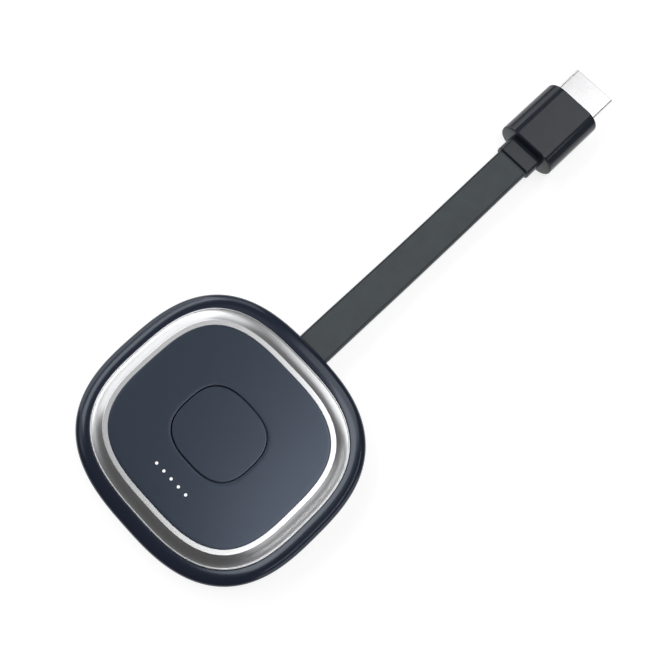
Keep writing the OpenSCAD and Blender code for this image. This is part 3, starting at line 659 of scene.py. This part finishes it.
bottom = new_piece("puck_bottom", carried_round(puck_rows(bottom_profile)))
cut_away(bottom, opening_cutters())
base_plastic = new_finish("base_plastic", (0.012, 0.014, 0.020), 0.5, cloud=0.10, grain_mm=0.10,
                          height_mm=0.008)
place(bottom, "case", ["bottom_shell"], base_plastic)

# %% The rubber foot
FOOT_ROUND = 0.35
FOOT_POINTS = 7
foot_out = FOOT_INSET + FOOT_ROUND
foot_in = FOOT_INSET + FOOT_W - FOOT_ROUND
foot_profile = [
    [[FOOT_INSET, FOOT_TOP]],
    arc((foot_out, FOOT_ROUND), (FOOT_ROUND, FOOT_ROUND), 180, 270, FOOT_POINTS),
    arc((foot_in, FOOT_ROUND), (FOOT_ROUND, FOOT_ROUND), 270, 360, FOOT_POINTS),
    [[FOOT_INSET + FOOT_W, FOOT_TOP]],
]
foot = new_piece("puck_foot", carried_round(puck_rows(foot_profile)), joined=True)
rubber = new_finish("foot_rubber", (0.020, 0.020, 0.022), 0.8, cloud=0.15, grain_mm=0.2, height_mm=0.02,
                    Specular_IOR_Level=0.3)
place(foot, "case", ["foot_ring"], rubber)

# %% [markdown]
# ## The top shell with its glossy rim
#
# The rim is a quarter of a wide, low ellipse, from the widest line up to the silver ring. Inside it
# the shell drops into the ring's channel and runs on as a deck under the face, down through the
# button's opening and back underneath, so the profile closes on itself. In the photograph the rim
# looks like polished navy plastic, and a clear coat over a dark blue gives that look.

# %% The top shell
RING_RISE = 1.75
FACE_RISE = 3.1
CHANNEL_D = 0.85
CHANNEL_SLOPE = 2
DECK_T = 1.1
FACE_T = 1.3
BUTTON_W = 23.8
BUTTON_L = 21
BUTTON_POWER = 2.76
GROOVE = 0.3
RIM_EDGE = 0.1
SIDE_POINTS = 8
RIM_POINTS = 40
RIM_EDGE_POINTS = 4
ring_z = WIDE_Z + RING_RISE
face_z = WIDE_Z + FACE_RISE
deck_z = face_z - FACE_T
ceiling_z = deck_z - DECK_T
channel_z = ring_z - CHANNEL_D
channel_end = FACE_INSET - CHANNEL_SLOPE * 1.5
deck_start = FACE_INSET - CHANNEL_SLOPE / 2
lower_side = under(np.linspace(parting_angle() - SEAM_ANGLE, 2, SIDE_POINTS))
rim = arc((RIM_W, WIDE_Z), (RIM_W, RING_RISE), 180, 92, RIM_POINTS)
side_foot = lower_side[0]
outer_profile = [
    [[side_foot[0] + 2 * SEAM, PARTING_Z], [side_foot[0] + SEAM / 2, PARTING_Z + SEAM / 4]],
    lower_side,
    rim,
    arc((RIM_W - RIM_EDGE, ring_z - RIM_EDGE), (RIM_EDGE, RIM_EDGE), 70, 0, RIM_EDGE_POINTS),
    [[RIM_W, channel_z], [channel_end, channel_z], [deck_start, deck_z]],
]
inner_profile = [
    [[FACE_INSET - DECK_T, ceiling_z],
     [RIM_W + CHANNEL_SLOPE / 2 - DECK_T / 2, channel_z - DECK_T],
     [RIM_WALL + DECK_T, channel_z - DECK_T], [RIM_WALL, channel_z - 2 * DECK_T],
     [RIM_WALL, PARTING_Z]],
]
hole_x = BUTTON_W / 2 + GROOVE / 2
hole_y = BUTTON_L / 2 + GROOVE / 2
hole_rows = [[hole_x, hole_y, BUTTON_POWER, deck_z], [hole_x, hole_y, BUTTON_POWER, ceiling_z]]
top_rows = np.vstack([puck_rows(outer_profile), hole_rows, puck_rows(inner_profile)])
top = new_piece("puck_top", carried_round(top_rows), joined=True)
cut_away(top, opening_cutters())
navy_gloss = new_finish("navy_gloss", (0.0155, 0.0205, 0.038), 0.2, cloud=0.06, grain_mm=0.3,
                        height_mm=0.0006, Specular_IOR_Level=0.5, Specular_Tint=(0.72, 0.84, 1, 1),
                        Coat_Weight=0.4, Coat_Roughness=0.1)
place(top, "case", ["top_shell"], navy_gloss)

# %% [markdown]
# ## The silver ring
#
# The ring is what the eye goes to first: a fine bead at its outer edge, then a hollow cove, a crisp
# crest and an almost level band round the face. The photograph shows it only from above, so its
# profile is read from light and shade: the cove's slope decides where the lamps show in it. It is a
# parabola with both end slopes given, about 10 degrees at the bead and about 33 at the crest. The
# cove is satin metal. The band looks lighter and duller in the photograph, as blasted metal does: an
# attribute of the mesh, 0 on the cove and 1 on the band, mixes the two. The CAD model has a quarter
# of an ellipse, which is steeper under the crest. In trial renders, metal steeper than about 40
# degrees mirrored the white floor there.

# %% The silver ring
BEAD_W = 0.5
BEAD_H = 0.15
BAND_W = 1.3
BAND_DROP = 0.02
CREST_RISE = 0.05
CREST_ROUND = 0.12
COVE_FOOT_SLOPE = 0.17
COVE_TOP_SLOPE = 0.64
BEAD_POINTS = 9
COVE_POINTS = 24
CREST_POINTS = 7


def bent(start, corner, end, count):
    """A parabola from start to end whose ends point at the corner: (1-t)^2 s + 2t(1-t) c + t^2 e."""
    t = np.linspace(0, 1, count)[:, None]
    return (1 - t) ** 2 * start + 2 * t * (1 - t) * corner + t**2 * end


cove_start = np.array([RIM_W + BEAD_W, ring_z + BEAD_H / 3])
crest_at = np.array([FACE_INSET - BAND_W, face_z + CREST_RISE])
band_foot = np.array([FACE_INSET, face_z + CREST_RISE - BAND_DROP])
run, rise = crest_at - cove_start
turn_run = (COVE_TOP_SLOPE * run - rise) / (COVE_TOP_SLOPE - COVE_FOOT_SLOPE)
turn_at = cove_start + turn_run * np.array([1, COVE_FOOT_SLOPE])
cove_side = CREST_ROUND * (turn_at - crest_at) / np.linalg.norm(turn_at - crest_at)
band_side = CREST_ROUND * (band_foot - crest_at) / np.linalg.norm(band_foot - crest_at)
bead = arc((RIM_W + BEAD_W / 2 + FIT / 2, ring_z), (BEAD_W / 2 - FIT / 2, BEAD_H), 180, 25, BEAD_POINTS)
cove = bent(cove_start, turn_at, crest_at + cove_side, COVE_POINTS)
crest = bent(crest_at + cove_side, crest_at, crest_at + band_side, CREST_POINTS)[1:]
band = [
    band_foot - band_side,
    band_foot - band_side / 3,
    band_foot - [0, CREST_ROUND / 2],
    [FACE_INSET, deck_z],
    [deck_start, deck_z],
    [channel_end, channel_z],
    [RIM_W + FIT, channel_z],
]
ring_profile = np.vstack([bead, cove, crest, band])
ring = new_piece("silver_bezel", carried_round(puck_rows([ring_profile])), joined=True)
on_band = np.clip((ring_profile[:, 0] - crest_at[0]) / CREST_ROUND, 0, 1)
blasted = ring.data.attributes.new("blasted", "FLOAT", "POINT")
blasted.data.foreach_set("value", np.repeat(on_band, LOOP_POINTS))
satin_silver = new_finish("satin_silver", (0.72, 0.725, 0.74), 0.29, metal=1.0, cloud=0.02, grain_mm=0.08,
                          height_mm=0.00002, gloss_spread=0.04)
changed_where(satin_silver, "blasted", 0.33, (0.86, 0.865, 0.88))
place(ring, "case", ["silver_ring"], satin_silver)

# %% [markdown]
# ## The face and its button
#
# The face is a dark, silky plate with a slight crown. The button is cut from the same surface: both
# follow one formula for the height, so only the thin groove between them shows. The plate is a ring
# of loops from its outer edge in to the groove, and the button a stack of loops from its middle out
# and down to its flange. The groove could be cut out of one plate, but the button has to move on its
# own.

# %% The crowned face plate
CROWN = 0.3
FACE_EDGE = 0.12
FACE_STEPS = 16
EDGE_STEPS = 5


def face_height(y):
    """Height of the crowned face at a distance from its middle: a parabola, face_z at the edge."""
    return face_z + CROWN * (1 - (2 * y / (PUCK_L - 2 * FACE_INSET)) ** 2)


def face_rows(share):
    """Rows between the edge of the face, at share 0, and the groove, at share 1."""
    half_x = (PUCK_W / 2 - FACE_INSET) * (1 - share) + hole_x * share
    half_y = (PUCK_L / 2 - FACE_INSET) * (1 - share) + hole_y * share
    power = FACE_POWER * (1 - share) + BUTTON_POWER * share
    return np.column_stack([half_x, half_y, power, face_height(half_y)])


def edge_rows(row, drawn, drop):
    """Copies of one row, each drawn in by a distance and lowered by a drop."""
    drawn = np.asarray(drawn)[:, None]
    return np.hstack([row[:2] - drawn, row[2] + 0 * drawn, row[3] - np.asarray(drop)[:, None]])


bend = np.radians(np.linspace(0, 90, EDGE_STEPS))
plate_top = face_rows(np.linspace(0, 1, FACE_STEPS))
outer_edge = plate_top[0] - [FIT, FIT, 0, 0]
plate_rows = np.vstack([
    edge_rows(outer_edge, [0], [FACE_T]),
    edge_rows(outer_edge, FACE_EDGE * (1 - np.cos(bend)), FACE_EDGE * (1 - np.sin(bend))),
    plate_top[1:-1],
    edge_rows(plate_top[-1], -FACE_EDGE * (1 - np.sin(bend)), FACE_EDGE * (1 - np.cos(bend))),
    edge_rows(plate_top[-1], [0], [plate_top[-1][3] - deck_z]),
])
face = new_piece("face_panel", carried_round(plate_rows), joined=True)

# %% Holes for the five lights
LIGHT_COUNT = 5
LIGHT_PITCH = 2.75
LIGHT_Y = 16.4
LIGHT_R = 0.375
HOLE_POINTS = 24
hole_turn = np.radians(np.linspace(0, 360, HOLE_POINTS, endpoint=False))


def light_cutter(number):
    """A round bar through the face at one light's place."""
    x = (number - (LIGHT_COUNT - 1) / 2) * LIGHT_PITCH
    r = LIGHT_R + FIT
    rows = [
        np.column_stack([x + r * np.cos(hole_turn), r * np.sin(hole_turn) - LIGHT_Y, z + 0 * hole_turn])
        for z in (deck_z - CUT_PAST, face_z + CUT_PAST)
    ]
    return new_piece("light_cutter", np.stack(rows))


cut_away(face, [light_cutter(number) for number in range(LIGHT_COUNT)])
silky_face = new_finish("silky_face", (0.014, 0.0245, 0.039), 0.33, cloud=0.04, grain_mm=0.08,
                        height_mm=0.002, Specular_IOR_Level=1.0, Specular_Tint=(0.70, 0.79, 1, 1))
place(face, "case", ["face_plate"], silky_face)

# %% The button
BUTTON_T = 1.4
BUTTON_WALL = 1.2
FLANGE_W = 1
FLANGE_T = 0.7
REST_GAP = 0.1
STEM_R = 1.8
PLUNGER_TOP = 6.65
CAP_STEPS = 12
cap_x = BUTTON_W / 2 - GROOVE / 2
cap_y = BUTTON_L / 2 - GROOVE / 2
share = np.linspace(0.04, 0.97, CAP_STEPS)
dome = np.column_stack([cap_x * share, cap_y * share, BUTTON_POWER + 0 * share, face_height(cap_y * share)])
rim_row = np.array([cap_x, cap_y, BUTTON_POWER, face_height(cap_y)])
flange_z = ceiling_z - REST_GAP
inside_z = face_z - BUTTON_T
cap_rows = np.vstack([
    dome,
    edge_rows(rim_row, FACE_EDGE * (1 - np.sin(bend)), FACE_EDGE * (1 - np.cos(bend))),
    [
        [cap_x, cap_y, BUTTON_POWER, flange_z],
        [cap_x + FLANGE_W, cap_y + FLANGE_W, BUTTON_POWER, flange_z],
        [cap_x + FLANGE_W, cap_y + FLANGE_W, BUTTON_POWER, flange_z - FLANGE_T],
        [cap_x - BUTTON_WALL, cap_y - BUTTON_WALL, BUTTON_POWER, flange_z - FLANGE_T],
        [cap_x - BUTTON_WALL, cap_y - BUTTON_WALL, BUTTON_POWER, inside_z],
        [STEM_R, STEM_R, 2, inside_z],
        [STEM_R, STEM_R, 2, PLUNGER_TOP],
    ],
])
button = new_piece("press_button", carried_round(cap_rows))
place(button, "button", ["button_cap"], silky_face)

# %% [markdown]
# ## The power socket
#
# The socket's shell is a stadium-shaped tube of thin metal, let into the wall opposite the cable.
# Its tongue, its contacts and the rubber round the cable keep their CAD shapes.

# %% The socket's shell
SOCKET_T = 0.25
SOCKET_L = 7.4
SOCKET_Y = -30.35
socket_shell = sheet_tube(
    "socket_shell_metal",
    lambda t: stadium(SOCKET_W - 2 * t, SOCKET_H - 2 * t),
    SOCKET_T, SOCKET_Y + SOCKET_L, SOCKET_Y, SOCKET_Z,
)
tin_plate = new_finish("tin_plate", (0.62, 0.62, 0.63), 0.3, metal=1.0, cloud=0.05, grain_mm=0.1,
                       height_mm=0.001)
place(socket_shell, "case", ["power_socket_shell"], tin_plate)

# %% [markdown]
# ## Finishes for the pieces that keep their CAD shape
#
# Everything inside the case has its final shape in the CAD model already. Each node only needs the
# finish of what it is: solder mask, epoxy, tinned steel, gilt contacts, ceramic and ivory nylon. One
# grey would do while the case is closed. Each has its own, so that it looks right when other pieces
# are taken off.

# %% Finishes of the inner pieces
inner_finishes = {
    "board": new_finish("green_mask", (0.010, 0.085, 0.040), 0.35, cloud=0.25, grain_mm=0.05),
    "radio_mask": new_finish("blue_mask", (0.008, 0.035, 0.12), 0.35, cloud=0.25, grain_mm=0.05),
    "chip": new_finish("chip_epoxy", (0.018, 0.018, 0.020), 0.6, cloud=0.15, grain_mm=0.06),
    "pad": new_finish("thermal_pad_blue", (0.26, 0.34, 0.44), 0.8, cloud=0.1, grain_mm=0.1),
    "tin": tin_plate,
    "gilt": new_finish("gilt", (0.85, 0.60, 0.22), 0.25, metal=1.0, cloud=0.05, grain_mm=0.05,
                       height_mm=0.0005),
    "ceramic": new_finish("ceramic", (0.38, 0.25, 0.14), 0.5, cloud=0.15, grain_mm=0.06),
    "ferrite": new_finish("ferrite", (0.10, 0.095, 0.09), 0.7, cloud=0.2, grain_mm=0.1),
    "socket_black": new_finish("socket_black", (0.010, 0.010, 0.011), 0.45, grain_mm=0.08),
    "ivory": new_finish("ivory_nylon", (0.74, 0.71, 0.62), 0.5, cloud=0.05, grain_mm=0.1),
    "screw": new_finish("screw_steel", (0.45, 0.45, 0.47), 0.3, metal=1.0, grain_mm=0.05,
                        height_mm=0.0005),
    "clear": new_finish("lit_guide", (0.9, 0.92, 0.95), 0.35, cloud=0.02, grain_mm=0.1,
                        Emission_Color=(1, 1, 1, 1), Emission_Strength=0.6),
    "cable": soft_grey,
    "foot": rubber,
}
for part in frame["record"]["subparts"]:
    node = frame["nodes"][part["node"]]
    if not node.hide_render:
        node.data.materials.clear()
        node.data.materials.append(inner_finishes[part["material_slot"]])
print(len(inner_finishes), "finishes on the pieces that keep their CAD shape")

# %% [markdown]
# ## Floor, lamps and sky
#
# The object lies on a plain white floor, under long soft bars hung side by side as in a photo studio.
# A wide bar on the left and a thin one on the right draw the two streaks on the rim. A broad one
# overhead lights the face, with two weak ones beside it to even it out, and another one beyond the
# plug lights its metal. Low boxes on both sides reach the steep parts of the silver ring, with a
# small, weak one at the near left. The rest of the near side has none, which keeps that part of the
# ring dark and gives it depth. The places and strengths of the lamps were matched to the photograph,
# at its one angle. The floor is white to the camera and in reflections, with a faint shadow, and
# otherwise an ordinary pale floor. A white world would be simpler, but the ring would mirror it and
# lose its dark side.

# %% The floor
FLOOR_HALF = 3.0
FLOOR_GLOW = 0.78
SEEN_GREY = 0.4
MATTE_GREY = 0.8
floor_mesh = bpy.data.meshes.new("floor")
corners = [(x * FLOOR_HALF, y * FLOOR_HALF, 0) for x, y in ((-1, -1), (1, -1), (1, 1), (-1, 1))]
floor_mesh.from_pydata(corners, [], [(0, 1, 2, 3)])
floor = into_scene("floor", floor_mesh)

white = bpy.data.materials.new("white_floor")
white.use_nodes = True
tree = white.node_tree
tree.nodes.clear()
ray = tree.nodes.new("ShaderNodeLightPath")


def larger(first, second):
    """The larger of two shares."""
    step = tree.nodes.new("ShaderNodeMath")
    step.operation = "MAXIMUM"
    tree.links.new(first, step.inputs[0])
    tree.links.new(second, step.inputs[1])
    return step.outputs[0]


def diffuse(grey):
    """A plain diffuse surface of one grey."""
    node = tree.nodes.new("ShaderNodeBsdfDiffuse")
    node.inputs["Color"].default_value = (grey, grey, grey, 1)
    return node.outputs[0]


seen = larger(ray.outputs["Is Camera Ray"], ray.outputs["Is Glossy Ray"])
seen_all = larger(seen, ray.outputs["Is Transmission Ray"])
glow = tree.nodes.new("ShaderNodeEmission")
glow.inputs["Strength"].default_value = FLOOR_GLOW
both = tree.nodes.new("ShaderNodeAddShader")
choose = tree.nodes.new("ShaderNodeMixShader")
surface = tree.nodes.new("ShaderNodeOutputMaterial")
tree.links.new(diffuse(SEEN_GREY), both.inputs[0])
tree.links.new(glow.outputs[0], both.inputs[1])
tree.links.new(seen_all, choose.inputs["Fac"])
tree.links.new(diffuse(MATTE_GREY), choose.inputs[1])
tree.links.new(both.outputs[0], choose.inputs[2])
tree.links.new(choose.outputs[0], surface.inputs["Surface"])
floor_mesh.materials.append(white)
print("floor's side in m:", 2 * FLOOR_HALF)

# %% Lamps and sky
HANG_HEIGHT = 2.0
SKY_LIGHT = 0.08


def soft_box(name, size_m, radiance):
    """An area lamp with a power of pi * area * radiance, so that its own face would render at that
    brightness."""
    light = bpy.data.lights.new(name, "AREA")
    light.shape = "RECTANGLE"
    light.size, light.size_y = size_m
    light.energy = math.pi * size_m[0] * size_m[1] * radiance
    return into_scene(name, light)


def hung_bar(name, x, y, slant, size_m, radiance):
    """A soft box hung level over a point of the floor, facing down.

    Its long side is turned from +Y towards -X by slant degrees.
    """
    lamp = soft_box(name, size_m, radiance)
    lamp.location = (x, y, HANG_HEIGHT)
    lamp.rotation_euler = (0, 0, math.radians(slant))


def standing_box(name, turn, tilt, size_m, radiance):
    """A soft box that faces the puck, turn degrees round from +X and tilt degrees down from overhead.

    Its width lies level and its height runs along the tilt.
    """
    turn = math.radians(turn)
    tilt = math.radians(tilt)
    away = Vector((math.sin(tilt) * math.cos(turn), math.sin(tilt) * math.sin(turn), math.cos(tilt)))
    lamp = soft_box(name, size_m, radiance)
    lamp.location = HANG_HEIGHT * away
    lamp.rotation_mode = "QUATERNION"
    lamp.rotation_quaternion = away.to_track_quat("Z", "Y")


hung_bar("left_bar", -1.95, 0.3, 18, (0.85, 3.0), 2.8)
hung_bar("right_bar", 1.75, 0.4, 8, (0.18, 2.6), 3.4)
hung_bar("middle_bar", 0.24, 0.22, 8, (0.6, 1.5), 3.2)
hung_bar("over_left_bar", -0.56, 0.2, 14, (0.4, 1.2), 0.35)
hung_bar("over_right_bar", 0.8, 0.4, 14, (0.4, 1.2), 0.2)
hung_bar("far_bar", 0.14, 1.8, 4, (1.15, 1.8), 1.5)
standing_box("left_box", 180, 70, (2.4, 1.0), 1.3)
standing_box("near_left_box", 222, 52, (0.7, 0.5), 0.7)
standing_box("right_box", 0, 72, (2.0, 0.7), 1.1)
standing_box("far_left_box", 135, 60, (1.0, 0.8), 1.1)
sky = bpy.data.worlds.new("plain_sky")
sky.use_nodes = True
sky.node_tree.nodes["Background"].inputs["Color"].default_value = (1, 1, 1, 1)
sky.node_tree.nodes["Background"].inputs["Strength"].default_value = SKY_LIGHT
bpy.context.scene.world = sky
bpy.context.scene.view_settings.view_transform = "Standard"
